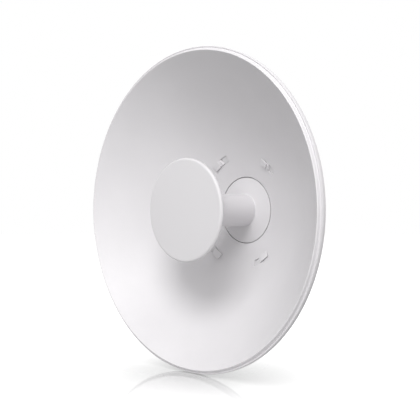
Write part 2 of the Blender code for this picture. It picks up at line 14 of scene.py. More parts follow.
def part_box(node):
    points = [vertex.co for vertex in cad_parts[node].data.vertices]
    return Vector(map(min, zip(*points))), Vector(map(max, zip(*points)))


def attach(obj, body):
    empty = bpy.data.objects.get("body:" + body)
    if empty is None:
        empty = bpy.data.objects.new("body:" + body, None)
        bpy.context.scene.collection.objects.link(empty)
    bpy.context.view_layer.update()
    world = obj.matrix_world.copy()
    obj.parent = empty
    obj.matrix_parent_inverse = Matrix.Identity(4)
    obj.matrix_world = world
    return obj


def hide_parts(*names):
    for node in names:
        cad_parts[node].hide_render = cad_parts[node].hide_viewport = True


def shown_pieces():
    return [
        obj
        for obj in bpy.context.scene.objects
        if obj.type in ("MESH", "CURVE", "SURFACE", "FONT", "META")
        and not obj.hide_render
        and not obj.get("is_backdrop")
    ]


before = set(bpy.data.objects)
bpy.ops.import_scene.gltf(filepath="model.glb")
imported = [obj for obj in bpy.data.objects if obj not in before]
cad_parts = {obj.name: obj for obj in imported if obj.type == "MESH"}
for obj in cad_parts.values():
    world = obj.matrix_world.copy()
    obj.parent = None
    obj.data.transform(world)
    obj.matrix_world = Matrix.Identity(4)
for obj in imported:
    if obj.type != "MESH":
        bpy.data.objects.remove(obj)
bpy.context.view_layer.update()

TO_FRAME = Matrix.Rotation(pi / 2, 4, "X")


def front_box(node):
    """A CAD node's box in the front view's axes, as its lowest and highest corners."""
    low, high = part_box(node)
    return Vector((low.x, low.z, -high.y)), Vector((high.x, high.z, -low.y))


# The gap between pieces that touch, and how far cutters reach past the faces that they cut
GAP = 0.0003
HOLE_PAST = 0.004
SLOT_PAST = 0.002
CUT_PAST = 0.001

# Sizes that the solids share
DISH_HIGH = front_box("reflector")[1]
DISH_RADIUS = DISH_HIGH.x
RIM_STATION = DISH_HIGH.z
RIM_WIDTH = 0.0064
LIP_HEIGHT = 0.0006
MOUTH_RADIUS = DISH_RADIUS - RIM_WIDTH
BOWL_FOCAL_LENGTH = 0.0929
VERTEX_STATION = RIM_STATION - LIP_HEIGHT - MOUTH_RADIUS ** 2 / (4 * BOWL_FOCAL_LENGTH)
HUB_HOLE_RADIUS = 0.0457
SHEET = 0.0015

# Lugs and slots. A span is a length clockwise along the lug circle from a lug's own angle, and
# low and high are heights square to the bowl.
LUG_CIRCLE_RADIUS = 0.0759
LUGS = {
    "bayonet_lug_upper_left": 124.4,
    "bayonet_lug_upper_right": 54.4,
    "bayonet_lug_lower_left": -125.6,
    "bayonet_lug_lower_right": -55.6,
}
LUG_WIDTH = 0.009
TAPER_START = 0.002
TONGUE = dict(span=(-0.0074, 0.0046), width=LUG_WIDTH, low=0.001, high=0.0029, corner=0.0007,
              edge=0.0002, run_out=0.0006, taper=0.42)
NECK = dict(span=(0.003, 0.0082), width=LUG_WIDTH - 0.0002, low=-SHEET - 0.0002, high=0.0014,
            corner=0.0003, edge=0.0001, lean=0.0012, skew=0.26, taper=0.1)
SLOT = dict(span=(0.0014, 0.02), width=0.0093, low=-0.006, high=0.006, corner=0.0006,
            edge=0.0001)
PAD = dict(span=(0.0098, 0.0198), width=0.0082, low=-0.004, high=-0.0011, corner=0.0004,
           edge=0.0001)

# Places and holes that the housing, the brackets and their fasteners share
BOLT_STATION = 0.035
PIVOT_UP = 0.022
LOCK_UP = -0.022
BOLT_RADIUS = 0.004
BOLT_HOLE_RADIUS = 0.0043
HEX_RADIUS = 0.0072
SCREW_ACROSS = 0.02
SCREW_UP = 0.035
SCREW_RADIUS = 0.0025
SCREW_HOLE_RADIUS = 0.0028
SCREW_HOLE_DEPTH = 0.01


# Mesh building
STRAIGHT = 0.02
FILLET_SHARE = 0.48
CORNER_SHRINK = 0.6
MERGE_DISTANCE = 0.000005
WELD_DISTANCE = 0.00002
BEVEL_SEGMENTS = 2
BEVEL_ANGLE = 35
FLAT = cos(radians(0.3))


def loft(rings, closed=False):
    """A mesh through rings of points; a ring of one point closes to a tip."""
    shape = bmesh.new()
    rows = [[shape.verts.new(point) for point in ring] for ring in rings]
    count = max(len(row) for row in rows)
    pairs = list(zip(rows, rows[1:]))
    if closed:
        pairs.append((rows[-1], rows[0]))
    for first, second in pairs:
        for i in range(count):
            j = (i + 1) % count
            corners = []
            for row, k in ((first, i), (first, j), (second, j), (second, i)):
                corner = row[k % len(row)]
                if corner not in corners:
                    corners.append(corner)
            if len(corners) > 2:
                shape.faces.new(corners)
    if not closed:
        for row in (rows[0], rows[-1]):
            if len(row) > 2:
                shape.faces.new(row)
    bmesh.ops.recalc_face_normals(shape, faces=shape.faces)
    return shape


def fillet(points, steps=4, closed=False):
    """Rounds the corners of an outline of (a, b, radius) points."""
    done = []
    count = len(points)
    for i, (a, b, radius) in enumerate(points):
        here = Vector((a, b))
        before = Vector(points[i - 1][:2]) - here
        after = Vector(points[(i + 1) % count][:2]) - here
        if (radius <= 0 or (not closed and i in (0, count - 1))
                or (turn := pi - before.angle(after)) < STRAIGHT):
            done.append(here)
            continue
        reach = min(radius * tan(turn / 2), before.length * FILLET_SHARE,
                    after.length * FILLET_SHARE)
        start = here + before.normalized() * reach
        end = here + after.normalized() * reach
        for k in range(steps + 1):
            t = k / steps
            done.append(start * (1 - t) ** 2 + here * 2 * t * (1 - t) + end * t ** 2)
    return done


def shifted(table, radius, station):
    """A table's (out, forward, corner radius) points, from a radius and a station."""
    return [(radius + out, station + forward, corner) for out, forward, corner in table]


def on_circle(centre, radius, angle):
    return centre[0] + radius * cos(angle), centre[1] + radius * sin(angle)


def ring(radius, station, steps):
    """A ring of points round the dish axis, or one point on it."""
    if radius < 1e-6:
        return [Vector((0, 0, station))]
    return [Vector((*on_circle((0, 0), radius, 2 * pi * i / steps), station))
            for i in range(steps)]


def turned(outline, steps=128, closed=False):
    """A shape turned round the dish axis from an outline of (radius, station) points."""
    return loft([ring(radius, station, steps) for radius, station in outline], closed)


def cylinder(radius, start, end, steps=32):
    return turned([(0, start), (radius, start), (radius, end), (0, end)], steps)


def rounded_rectangle(half_x, half_y, corner, z, steps, side_steps):
    """A ring of points round a rectangle with rounded corners, and more along its x sides."""
    corner = max(min(corner, half_x, half_y), 1e-5)
    points = []
    for number, (side_x, side_y) in enumerate(((1, 1), (-1, 1), (-1, -1), (1, -1))):
        centre = (side_x * (half_x - corner), side_y * (half_y - corner))
        for k in range(steps + 1):
            angle = radians(90 * number + 90 * k / steps)
            points.append(Vector((*on_circle(centre, corner, angle), z)))
        if number in (0, 2):
            for k in range(side_steps):
                along = 1 - 2 * (k + 1) / (side_steps + 1)
                points.append(Vector((side_x * (half_x - corner) * along, side_y * half_y, z)))
    return points


def slab(half_x, half_y, low, high, corner, edge, steps=6, edge_steps=3, side_steps=0):
    """A rectangular slab with rounded corners, and rounded edges round its two faces."""
    rings = []
    for base, sign in ((low, 1), (high, -1)):
        layers = []
        for k in range(edge_steps + 1):
            angle = pi / 2 * k / edge_steps
            inset = edge * (1 - sin(angle))
            rise = edge * (1 - cos(angle))
            layers.append(rounded_rectangle(half_x - inset, half_y - inset,
                                            corner - inset * CORNER_SHRINK, base + sign * rise,
                                            steps, side_steps))
        rings += layers if sign > 0 else layers[::-1]
    return loft(rings)


def placed(shape, matrix):
    bmesh.ops.transform(shape, matrix=matrix, verts=shape.verts)
    if matrix.determinant() < 0:
        bmesh.ops.reverse_faces(shape, faces=shape.faces)
    return shape


def moved(shape, place):
    return placed(shape, Matrix.Translation(place))


def pose(place, angle, axis):
    return Matrix.Translation(place) @ Matrix.Rotation(angle, 4, axis)


def slabs(places, *sizes):
    """The same slab at each of the places."""
    return [moved(slab(*sizes), place) for place in places]


def bore_forward(radius, across, up, back, front):
    return moved(cylinder(radius, back, front), (across, up, 0))


def screw_holes(back, front):
    return [bore_forward(SCREW_HOLE_RADIUS, across, up, back, front)
            for up in (SCREW_UP, -SCREW_UP) for across in (-SCREW_ACROSS, SCREW_ACROSS)]


def mesh_of(name, shape):
    """The shape as a mesh, which frees the shape."""
    mesh = bpy.data.meshes.new(name)
    shape.to_mesh(mesh)
    shape.free()
    return mesh


def in_scene(name, data):
    item = bpy.data.objects.new(name, data)
    bpy.context.scene.collection.objects.link(item)
    return item


def joined(*shapes):
    """One mesh with all the shapes in it."""
    whole = shapes[0]
    for shape in shapes[1:]:
        mesh = mesh_of("joining", shape)
        whole.from_mesh(mesh)
        bpy.data.meshes.remove(mesh)
    return whole


def changed(thing, **settings):
    for key, value in settings.items():
        setattr(thing, key, value)
    return thing


def carve(shape, others, operation="DIFFERENCE", bevel=0.0):
    """An exact Boolean of a shape with each of the others, then a bevel of its sharp edges."""
    target, *tools = [in_scene("loose", mesh_of("loose", each)) for each in (shape, *others)]
    steps = target.modifiers
    for tool in tools:
        changed(steps.new("carve", "BOOLEAN"), operation=operation, solver="EXACT", object=tool)
    if bevel:
        changed(steps.new("weld", "WELD"), merge_threshold=WELD_DISTANCE)
        changed(steps.new("edges", "BEVEL"), width=bevel, segments=BEVEL_SEGMENTS,
                limit_method="ANGLE", angle_limit=radians(BEVEL_ANGLE),
                miter_outer="MITER_ARC")
    result = bmesh.new()
    result.from_object(target, bpy.context.evaluated_depsgraph_get())
    for item in (target, *tools):
        bpy.data.meshes.remove(item.data)
    bmesh.ops.remove_doubles(result, verts=result.verts, dist=MERGE_DISTANCE)
    return result


def flat_patches(shape):
    """Each face's flat patch by number, and each patch's normal times its area."""
    patch = {}
    weights = []
    for start in shape.faces:
        if start.index in patch:
            continue
        patch[start.index] = len(weights)
        area = 0.0
        waiting = [start]
        while waiting:
            face = waiting.pop()
            area += face.calc_area()
            for edge in face.edges:
                for other in edge.link_faces:
                    if other.index not in patch and other.normal.dot(start.normal) > FLAT:
                        patch[other.index] = len(weights)
                        waiting.append(other)
        weights.append(start.normal * area)
    return patch, weights


def corner_normals(shape, sharp):
    """Normals for the face corners that keep flat faces flat and round ones smooth."""
    patch, weights = flat_patches(shape)
    limit = cos(sharp)
    smooth = [len(edge.link_faces) == 2
              and edge.link_faces[0].normal.dot(edge.link_faces[1].normal) > limit
              for edge in shape.edges]
    at_corner = {}
    for vertex in shape.verts:
        left = set(vertex.link_faces)
        while left:
            fan = [left.pop()]
            for face in fan:
                for edge in face.edges:
                    if vertex in edge.verts and smooth[edge.index]:
                        fresh = [other for other in edge.link_faces if other in left]
                        left.difference_update(fresh)
                        fan.extend(fresh)
            total = Vector((0, 0, 0))
            for number in {patch[face.index] for face in fan}:
                total += weights[number]
            for face in fan:
                at_corner[vertex.index, face.index] = total.normalized()
    return [at_corner[loop.vert.index, face.index] for face in shape.faces for loop in face.loops]


def piece(name, shape, material, node=None, stands_for=True, sharp=32):
    """Puts a shape in the scene as a fine piece in the given material, and hides the CAD node it
    stands for, if it stands for one.

    Edges that turn by more than the sharp angle, in degrees, stay sharp.
    """
    node = node or name
    placed(shape, TO_FRAME)
    bmesh.ops.recalc_face_normals(shape, faces=shape.faces)
    for elements in (shape.verts, shape.edges, shape.faces):
        elements.index_update()
    shape.normal_update()
    normals = corner_normals(shape, radians(sharp))
    mesh = mesh_of(name + "_fine", shape)
    mesh.shade_smooth()
    mesh.set_sharp_from_angle(angle=radians(sharp))
    mesh.normals_split_custom_set(normals)
    mesh.materials.append(material)
    item = in_scene(name + "_fine", mesh)
    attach(item, "root")
    if stands_for:
        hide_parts(node)


# Materials. Noise scales are per metre.
EDGE_POINTINESS = (0.52, 0.6)
# The colour sockets of a mix node, by number, because its other sockets have the same names
MIX_COLOURS = (6, 7)
MIX_RESULT = 2


class Nodes:
    """A node tree that is built one node at a time."""

    def __init__(self, tree):
        self.tree = tree

    def give(self, node, inputs):
        """Sets or links a node's inputs, by name or number."""
        for key, value in inputs.items():
            if isinstance(value, bpy.types.NodeSocket):
                self.tree.links.new(value, node.inputs[key])
            else:
                node.inputs[key].default_value = value
        return node

    def node(self, kind, inputs=None, **settings):
        """The outputs of a new node."""
        made = changed(self.tree.nodes.new(kind), **settings)
        return self.give(made, inputs or {}).outputs

    def math(self, operation, *values):
        return self.node("ShaderNodeMath", dict(enumerate(values)), operation=operation)[0]


class Looks(Nodes):
    """A material's nodes round a Principled shader, in the coordinates of its object."""

    def __init__(self, name, constants):
        self.material = bpy.data.materials.new(name)
        self.material.use_nodes = True
        super().__init__(self.material.node_tree)
        self.shader = self.give(self.tree.nodes["Principled BSDF"], constants)
        self.place = self.node("ShaderNodeTexCoord")["Object"]

    def noise(self, scale, detail=2.0, roughness=0.5, place=None):
        return self.node("ShaderNodeTexNoise", {
            "Vector": place or self.place, "Scale": scale, "Detail": detail,
            "Roughness": roughness})["Fac"]

    def ramp(self, source, low, high, from_low=0.3, from_high=0.7):
        """Low to high, as the source goes through a range, which is by default a noise's own."""
        return self.node("ShaderNodeMapRange", {
            "Value": source, "From Min": from_low, "From Max": from_high, "To Min": low,
            "To Max": high})["Result"]

    def blend(self, factor, *colours):
        """A colour between two others, each given as a colour or a socket."""
        colours = [(*each, 1) if isinstance(each, tuple) else each for each in colours]
        return self.node("ShaderNodeMix", {"Factor": factor, **dict(zip(MIX_COLOURS, colours))},
                         data_type="RGBA")[MIX_RESULT]

    def edges(self):
        """High on the sharp outer edges."""
        pointiness = self.node("ShaderNodeNewGeometry")["Pointiness"]
        return self.ramp(pointiness, 0.0, 1.0, *EDGE_POINTINESS)

    def finish(self, colour, rough, *bumps):
        """The material with its colour and roughness, and bumps of (socket, metres) pairs."""
        normal = {}
        for height, distance in bumps:
            normal = {"Normal": self.node("ShaderNodeBump", {
                "Strength": 1.0, "Distance": distance, "Height": height, **normal})["Normal"]}
        self.give(self.shader, {"Base Color": colour, "Roughness": rough, **normal})
        return self.material


def scaled(tone, factor):
    return tuple(min(channel * factor, 1) for channel in tone)


def powder_coat(name, dark, bright):
    """White satin powder coat: faint orange peel, and cloudy gloss."""
    looks = Looks(name, {"IOR": 1.48})
    clouds = looks.ramp(looks.noise(14, 3), 0, 1)
    return looks.finish(looks.blend(clouds, dark, bright),
                        looks.ramp(looks.noise(160, 3), 0.4, 0.48),
                        (looks.noise(520, 2, 0.45), 0.000018), (looks.noise(1900, 1), 0.000003))


def moulded(name, tone, rough, grain=0.000006):
    """White moulded plastic: a fine spark-eroded grain and a faint drift in tone."""
    looks = Looks(name, {"IOR": 1.5})
    drift = looks.ramp(looks.noise(9, 2), 0, 1)
    base = looks.blend(drift, tone, scaled(tone, 1.02))
    # The sharp outer edges are made a little lighter in tone.
    return looks.finish(looks.blend(looks.edges(), base, scaled(tone, 1.04)),
                        looks.ramp(looks.noise(240, 4), rough - 0.04, rough + 0.05),
                        (looks.noise(2400, 2, 0.6), grain), (looks.noise(300, 2), grain * 0.8))


def zinc(name, tone, rough):
    """Zinc plate: soft spangles, rolling scratches and brighter worn edges."""
    looks = Looks(name, {"Metallic": 1.0})
    spangles = looks.node("ShaderNodeTexVoronoi", {"Vector": looks.place, "Scale": 210})["Color"]
    tile = looks.node("ShaderNodeSeparateColor", {"Color": spangles})["Red"]
    base = looks.blend(looks.ramp(tile, 0, 1, 0, 1), scaled(tone, 0.86), tone)
    clouded = looks.blend(looks.ramp(looks.noise(35, 4), 0, 0.5), base, (0.5, 0.51, 0.53))
    gloss = looks.ramp(tile, rough - 0.05, rough + 0.05, 0, 1)
    stretch = looks.node("ShaderNodeMapping", {"Vector": looks.place, "Scale": (3.0, 3.0, 0.12)})
    scratch = looks.noise(900, 3, 0.6, stretch["Vector"])
    return looks.finish(looks.blend(looks.edges(), clouded, (0.8, 0.81, 0.82)),
                        looks.math("ADD", gloss, looks.ramp(looks.noise(90, 4), 0.0, 0.12)),
                        (looks.noise(420, 3), 0.00001), (scratch, 0.000004))


def turned_metal(name):
    """Aluminium with fine turning marks round the dish axis."""
    looks = Looks(name, {"Metallic": 1.0})
    split = looks.node("ShaderNodeSeparateXYZ", {"Vector": looks.place})
    squares = [looks.math("MULTIPLY", split[axis], split[axis]) for axis in ("X", "Z")]
    radius = looks.math("SQRT", looks.math("ADD", *squares))
    marks = looks.math("SINE", looks.math("MULTIPLY", radius, 14000))
    clouds = looks.noise(60, 3)
    base = looks.blend(looks.ramp(clouds, 0, 1), (0.66, 0.67, 0.68), (0.76, 0.77, 0.78))
    return looks.finish(base, looks.ramp(clouds, 0.26, 0.4), (marks, 0.000004),
                        (looks.noise(700, 2), 0.000003))


def rubber(name):
    """Black rubber with a dusty bloom."""
    looks = Looks(name, {"IOR": 1.52})
    dust = looks.ramp(looks.noise(120, 5, 0.65), 0, 1, 0.45, 0.75)
    return looks.finish(looks.blend(dust, (0.022, 0.022, 0.023), (0.06, 0.058, 0.055)),
                        looks.ramp(looks.noise(300, 3), 0.62, 0.85),
                        (looks.noise(1500, 3), 0.00002))


def lens(name, tone):
    """Glossy plastic, for the signal lamps and the window over them."""
    looks = Looks(name, {"IOR": 1.49, "Coat Weight": 0.6, "Coat Roughness": 0.05})
    drift = looks.ramp(looks.noise(80, 2), 0, 1)
    return looks.finish(looks.blend(drift, tone, scaled(tone, 1.25)),
                        looks.ramp(looks.noise(500, 3), 0.1, 0.2),
                        (looks.noise(900, 2), 0.000002))


PAINT = powder_coat("white_powder_coat", (0.664, 0.65, 0.665), (0.684, 0.67, 0.685))
FEED_PLASTIC = moulded("white_feed_plastic", (0.66, 0.646, 0.661), 0.4)
CAP_PLASTIC = moulded("white_cap_plastic", (0.642, 0.629, 0.643), 0.4, 0.000004)
HOUSING_PLASTIC = moulded("white_housing_plastic", (0.63, 0.618, 0.63), 0.46, 0.00001)
COVER_PLASTIC = moulded("white_cover_plastic", (0.622, 0.611, 0.62), 0.48, 0.000009)
LUG_PLASTIC = moulded("white_lug_plastic", (0.672, 0.658, 0.673), 0.3, 0.000004)
CONE_PLASTIC = moulded("natural_cone_plastic", (0.74, 0.738, 0.715), 0.36, 0.000003)
LATCH_PLASTIC = moulded("grey_latch_plastic", (0.29, 0.3, 0.31), 0.52, 0.000012)
PLATE_METAL = turned_metal("turned_aluminium")
TILT_ZINC = zinc("zinc_tilt_bracket", (0.62, 0.63, 0.64), 0.34)
POLE_ZINC = zinc("zinc_pole_bracket", (0.6, 0.61, 0.62), 0.38)
BOLT_ZINC = zinc("zinc_bolts", (0.68, 0.68, 0.68), 0.27)
RUBBER = rubber("black_rubber")
LENS = lens("smoked_lens", (0.2, 0.23, 0.25))
LAMP = lens("clear_lamp", (0.62, 0.68, 0.66))


# Reflector
BOWL_ROWS = 46
BOWL_STEPS = 256
# How far the hub hole's edge is eased, along the sheet and through it
EDGE_ALONG = 0.0003
EDGE_THROUGH = 0.0004
# The rim from the mouth's edge outward and round to the back
RIM = [
    (0, -0.0006, 0), (0.0009, 0.0001, 0.0006), (0.002, -0.0005, 0.0007),
    (0.0029, -0.0033, 0.0004), (0.004, -0.0043, 0.0007), (0.005, -0.0035, 0.0005),
    (0.0058, -0.0033, 0.0006), (0.0064, -0.0052, 0.0009), (0.0064, -0.0089, 0.0003),
    (0.005, -0.0089, 0.0003), (0.005, -0.0061, 0.0008), (0.0024, -0.0056, 0.001),
]


def bowl_point(radius, distance=0):
    """The point behind the inner face at this radius, at a distance square to the sheet."""
    slope = atan(radius / (2 * BOWL_FOCAL_LENGTH))
    station = VERTEX_STATION + radius ** 2 / (4 * BOWL_FOCAL_LENGTH)
    return radius + distance * sin(slope), station - distance * cos(slope)


def lug_part(degrees, span, width, low, high, corner, edge, run_out=0.0, lean=0.0, skew=0.0,
             taper=0.0):
    """A piece of a ring on the bowl: its span clockwise, and its heights square to the sheet.

    It can run out lower at its start, lean outward at its end, have that end askew, and taper
    on its inner side.
    """
    slope = atan(LUG_CIRCLE_RADIUS / (2 * BOWL_FOCAL_LENGTH))
    base = bowl_point(LUG_CIRCLE_RADIUS)[1]
    length = span[1] - span[0]
    middle = (span[0] + span[1]) / 2
    shape = slab(length / 2, width / 2, low, high, corner, edge, steps=4, side_steps=16)
    for vertex in shape.verts:
        along, outward, off = vertex.co + Vector((middle, 0, 0))
        if outward < 0:
            outward += taper * max(along - TAPER_START, 0)
        if along > middle:
            along += lean * (high - off) / (high - low) - skew * outward
        if off > (low + high) / 2:
            off -= run_out * (span[1] - along) / length
        radius = LUG_CIRCLE_RADIUS + outward * cos(slope) - off * sin(slope)
        station = base + outward * sin(slope) + off * cos(slope)
        angle = radians(degrees) - along / LUG_CIRCLE_RADIUS
        vertex.co = (*on_circle((0, 0), radius, angle), station)
    return shape


def make_reflector():
    radii = [HUB_HOLE_RADIUS + EDGE_ALONG
             + (MOUTH_RADIUS - HUB_HOLE_RADIUS - EDGE_ALONG) * i / BOWL_ROWS
             for i in range(BOWL_ROWS + 1)]
    edge = [bowl_point(HUB_HOLE_RADIUS, distance)
            for distance in (SHEET - EDGE_THROUGH, EDGE_THROUGH)]
    front = [bowl_point(radius) for radius in radii[:-1]]
    rim = fillet(shifted(RIM, MOUTH_RADIUS, RIM_STATION))
    back = [bowl_point(radius, SHEET) for radius in reversed(radii)]
    bowl = turned(edge + front + rim + back, BOWL_STEPS, closed=True)
    slots = [lug_part(degrees, **SLOT) for degrees in LUGS.values()]
    piece("reflector", carve(bowl, slots), PAINT, sharp=40)


def make_lugs():
    """Each lug is a thin tongue just off the bowl, and a lower neck in the start of its slot."""
    for name, degrees in LUGS.items():
        tongue = lug_part(degrees, **TONGUE)
        neck = lug_part(degrees, **NECK)
        piece(name, carve(tongue, [neck], "UNION"), LUG_PLASTIC)


# Feed and subreflector
FLANGE_STATION = RIM_STATION - 0.1066
FLANGE_RADIUS = 0.0449
FLANGE_RISE = 0.0043
TUBE_ROOT_RADIUS = 0.0221
TUBE_TIP_RADIUS = 0.0214
SPIGOT_INSET = 0.0018
SPIGOT_HEIGHT = 0.0012
# The flange's face sweeps up from its edge to near the tube's root
SWEEP_INSET = 0.0004
SWEEP_POWER = 1.15
SWEEP_ROWS = 14
SWEEP_END = 0.94
# A bead round the tube's root, the flange's thin edge, and its foot
BEAD = [(0, 0.0006, 0.0001), (0.0009, -0.0001, 0.0002)]
FLANGE_EDGE = [(0, -0.0002, 0.0001), (0, -0.0004, 0.0001), (-0.0016, -0.0014, 0.0002)]
FLANGE_FOOT = [(-0.0016, 0.0006, 0.0002), (0, 0.0003, 0.0001), (0, 0, 0.0001)]
CONE_ROOT_RADIUS = 0.0209
CONE_RIM = [(0, 0, 0.0003), (0, -0.0016, 0.0003), (-0.0012, -0.003, 0.0003)]
# The cone's two steps, as shares of its widening and of its depth
CONE_STEPS = [(0.55, 0.56), (0.4, 0.56), (0.24, 0.28), (0.1, 0.28)]
# The ring grooves behind the plate
GROOVES = 4
GROOVE_MARGIN = 0.003
GROOVE_PITCH = 0.0056
GROOVE = [(0, 0, 0.0002), (-0.0004, 0.0011, 0.0002), (-0.0028, 0.0011, 0.0002),
          (-0.0032, 0, 0.0002)]
NOSE_ROWS = 24
CAP_FACE_INSET = 0.012
CAP_BACK_INSET = 0.001


def make_feed():
    low, high = front_box("feed_horn")
    spigot = TUBE_TIP_RADIUS - SPIGOT_INSET
    outline = [(0, high.z, 0), (spigot, high.z, 0.0002), (spigot, high.z - SPIGOT_HEIGHT, 0.0002),
               (TUBE_TIP_RADIUS, high.z - SPIGOT_HEIGHT, 0.0003)]
    outline += shifted(BEAD, TUBE_ROOT_RADIUS, FLANGE_STATION + FLANGE_RISE)
    widest = FLANGE_RADIUS - SWEEP_INSET
    for k in range(SWEEP_ROWS + 1):
        t = (1 - k / SWEEP_ROWS) * SWEEP_END
        outline.append((widest - (widest - TUBE_ROOT_RADIUS) * t,
                        FLANGE_STATION + FLANGE_RISE * t ** SWEEP_POWER, 0 if k else 0.0006))
    outline += shifted(FLANGE_EDGE, FLANGE_RADIUS, FLANGE_STATION)
    outline += shifted(FLANGE_FOOT, FLANGE_RADIUS, low.z)
    outline.append((0, low.z, 0))
    piece("feed_horn", turned(fillet(outline, 6), 160), FEED_PLASTIC)


def make_cone():
    """The dielectric cone under the plate, with two matching steps."""
    low, high = front_box("feed_cone")
    radius = high.x
    depth = high.z - low.z
    outline = [(0, high.z, 0)] + shifted(CONE_RIM, radius, high.z)
    outline += [(CONE_ROOT_RADIUS + (radius - CONE_ROOT_RADIUS) * out, low.z + depth * up, 0.0004)
                for out, up in CONE_STEPS]
    outline += [(CONE_ROOT_RADIUS, low.z, 0.0002), (0, low.z, 0)]
    piece("feed_cone", turned(fillet(outline)), CONE_PLASTIC)


def make_plate():
    low, high = front_box("subreflector_plate")
    outline = [(0, high.z, 0), (high.x, high.z, 0.0003), (high.x, low.z, 0.0003)]
    for number in range(GROOVES):
        outer = high.x - GROOVE_MARGIN - GROOVE_PITCH * number
        outline += shifted(GROOVE, outer, low.z)
    outline.append((0, low.z, 0))
    piece("subreflector_plate", turned(fillet(outline, 2)), PLATE_METAL)


def make_cap():
    """The bull-nosed cap, flat in front and behind."""
    low, high = front_box("subreflector_cap")
    nose = (high.z - low.z) / 2
    outline = [(0, high.z), (high.x - nose - CAP_FACE_INSET, high.z)]
    for k in range(NOSE_ROWS + 1):
        angle = radians(90 - 180 * k / NOSE_ROWS)
        outline.append(on_circle((high.x - nose, low.z + nose), nose, angle))
    outline += [(high.x - nose - CAP_BACK_INSET, low.z), (0, low.z)]
    piece("subreflector_cap", turned(outline, 192), CAP_PLASTIC, sharp=50)


# Rear housing
HOUSING_STEPS = 288
HOUSING_RADIUS = 0.084
HOUSING_CLEARANCE = 0.0004
FRONT_RADIUS = 0.0815
FRONT_ROWS = 8
# The drum's side, from its front edge, and its shoulder and groove, from its back face
DRUM_SIDE = [
    (0, -0.002, 0.0016), (-0.0006, -0.011, 0.0002), (-0.0014, -0.0113, 0.0002),
    (-0.0014, -0.0123, 0.0002), (-0.0007, -0.0126, 0.0002), (-0.0011, -0.018, 0.02),
]
DRUM_SHOULDER = [(-0.005, 0.012, 0.014), (-0.0095, 0.0045, 0.006)]
DRUM_GROOVE = [(0.061, 0, 0.0002), (0.0606, 0.0008, 0.0002), (0.0594, 0.0008, 0.0002),
               (0.059, 0, 0.0002)]
FLUTES = 48
FLUTE_DEPTH = 0.0007
FLUTE_START = 0.0105
FLUTE_END = 0.0215
FLUTED_RADIUS = 0.075
VENT_PLACES = [(side * (0.044 + 0.0045 * number), 0, 0)
               for side in (-1, 1) for number in range(3)]
VENT_DEPTH = 0.0007


def housing_outline(extra=0.0):
    """The drum's section, which an extra size makes into the cutter for the hood."""
    low = front_box("rear_housing")[0]
    offset = SHEET + HOUSING_CLEARANCE - extra
    radius = HOUSING_RADIUS + extra
    back = low.z
    edge_radius, edge = bowl_point(FRONT_RADIUS, offset)
    pocket = front_box("feed_horn")[0].z - GAP
    outline = [(0, pocket, 0), (HUB_HOLE_RADIUS, pocket, 0)]
    for i in range(FRONT_ROWS):
        place = HUB_HOLE_RADIUS + (FRONT_RADIUS - HUB_HOLE_RADIUS) * i / FRONT_ROWS
        outline.append((*bowl_point(place, offset), 0))
    outline.append((edge_radius, edge, 0.0008))
    outline += shifted(DRUM_SIDE, radius, edge) + shifted(DRUM_SHOULDER, radius, back)
    outline += [(0.0695 + extra, back + 0.0009 - extra, 0.006), (0.065, back - extra, 0.01)]
    if not extra:
        outline += shifted(DRUM_GROOVE, 0, back)
    outline.append((0, back - extra, 0))
    return fillet(outline, 5)


def make_housing():
    """The drum behind the bowl, with grip flutes, screw holes, vents, and pads in the slots."""
    low = front_box("rear_housing")[0]
    start = low.z + FLUTE_START
    end = low.z + FLUTE_END
    rings = []
    for radius, station in housing_outline():
        points = ring(radius, station, HOUSING_STEPS)
        if radius > FLUTED_RADIUS and start < station < end:
            depth = FLUTE_DEPTH * sin(pi * (station - start) / (end - start)) ** 0.5
            for i, point in enumerate(points):
                wave = 0.5 - 0.5 * cos(2 * pi * i * FLUTES / HOUSING_STEPS)
                scale = 1 - depth * wave / radius
                point.x *= scale
                point.y *= scale
        rings.append(points)
    holes = screw_holes(low.z - HOLE_PAST, low.z + SCREW_HOLE_DEPTH)
    holes += slabs(VENT_PLACES, 0.0012, 0.009, low.z - SLOT_PAST, low.z + VENT_DEPTH,
                   0.0011, 0.0003, 5, 2)
    pads = [lug_part(degrees, **PAD) for degrees in LUGS.values()]
    housing = carve(carve(loft(rings), holes), pads, "UNION")
    piece("rear_housing", housing, HOUSING_PLASTIC, sharp=36)


# Connection box under the housing
HOOD_TOP = -0.05
HOOD_FRONT_STATION = 0.106
HOOD_CORNER = 0.0045
HOOD_ROUND = 0.0038
NOTCH_UP = -0.074
NOTCH_STATIONS = (0.07, 0.0716)
NOTCH_SHIFTS = [0.0032 * number for number in range(5)]
COVER_CORNER = 0.005
BORDER_WIDTH = 0.0024
BORDER_HEIGHT = 0.0008
BORDER_BASE = 0.0012
COVER_RIB_PLACES = [(0, 0.004 + 0.0028 * number, 0) for number in range(4)]
LATCH_GROOVE_PLACES = [(0.0016 * number, 0, 0) for number in range(-4, 5)]
LATCH_GROOVE_DEPTH = 0.0005
LATCH_MARGIN = 0.0012
GROMMET_SLITS = 3
LAMP_PLACES = [-0.0066 + 0.0044 * number for number in range(4)]
LAMP_SEAT = 0.0007
LAMP_HOLE_RADIUS = 0.0011
# A lamp's dome, as radii and distances inside the window's face
LAMP_DOME = [(0, 0), (0.0003, 0.00002), (0.0007, 0.00016), (0.00098, 0.0004),
             (0.00098, 0.00068), (0, 0.00068)]
# The toothed washer's edge, as distances inside its radius and heights
WASHER_EDGE = [(0.0002, 0), (0, 0.0003), (0, 0.0009), (0.0002, 0.0012)]
WASHER_STEPS = 120
TOOTH_STEPS = 4
TOOTH_SCALE = 0.955
GROUND_HEAD_RADIUS = 0.0036
GROUND_HEAD_SEAT = 0.0011
GROUND_SLOT_DEPTH = 0.0011


def centred_box(node):
    """A CAD node's box, its middle and its half sizes, in the front view's axes."""
    low, high = front_box(node)
    return low, high, (low + high) / 2, (high - low) / 2


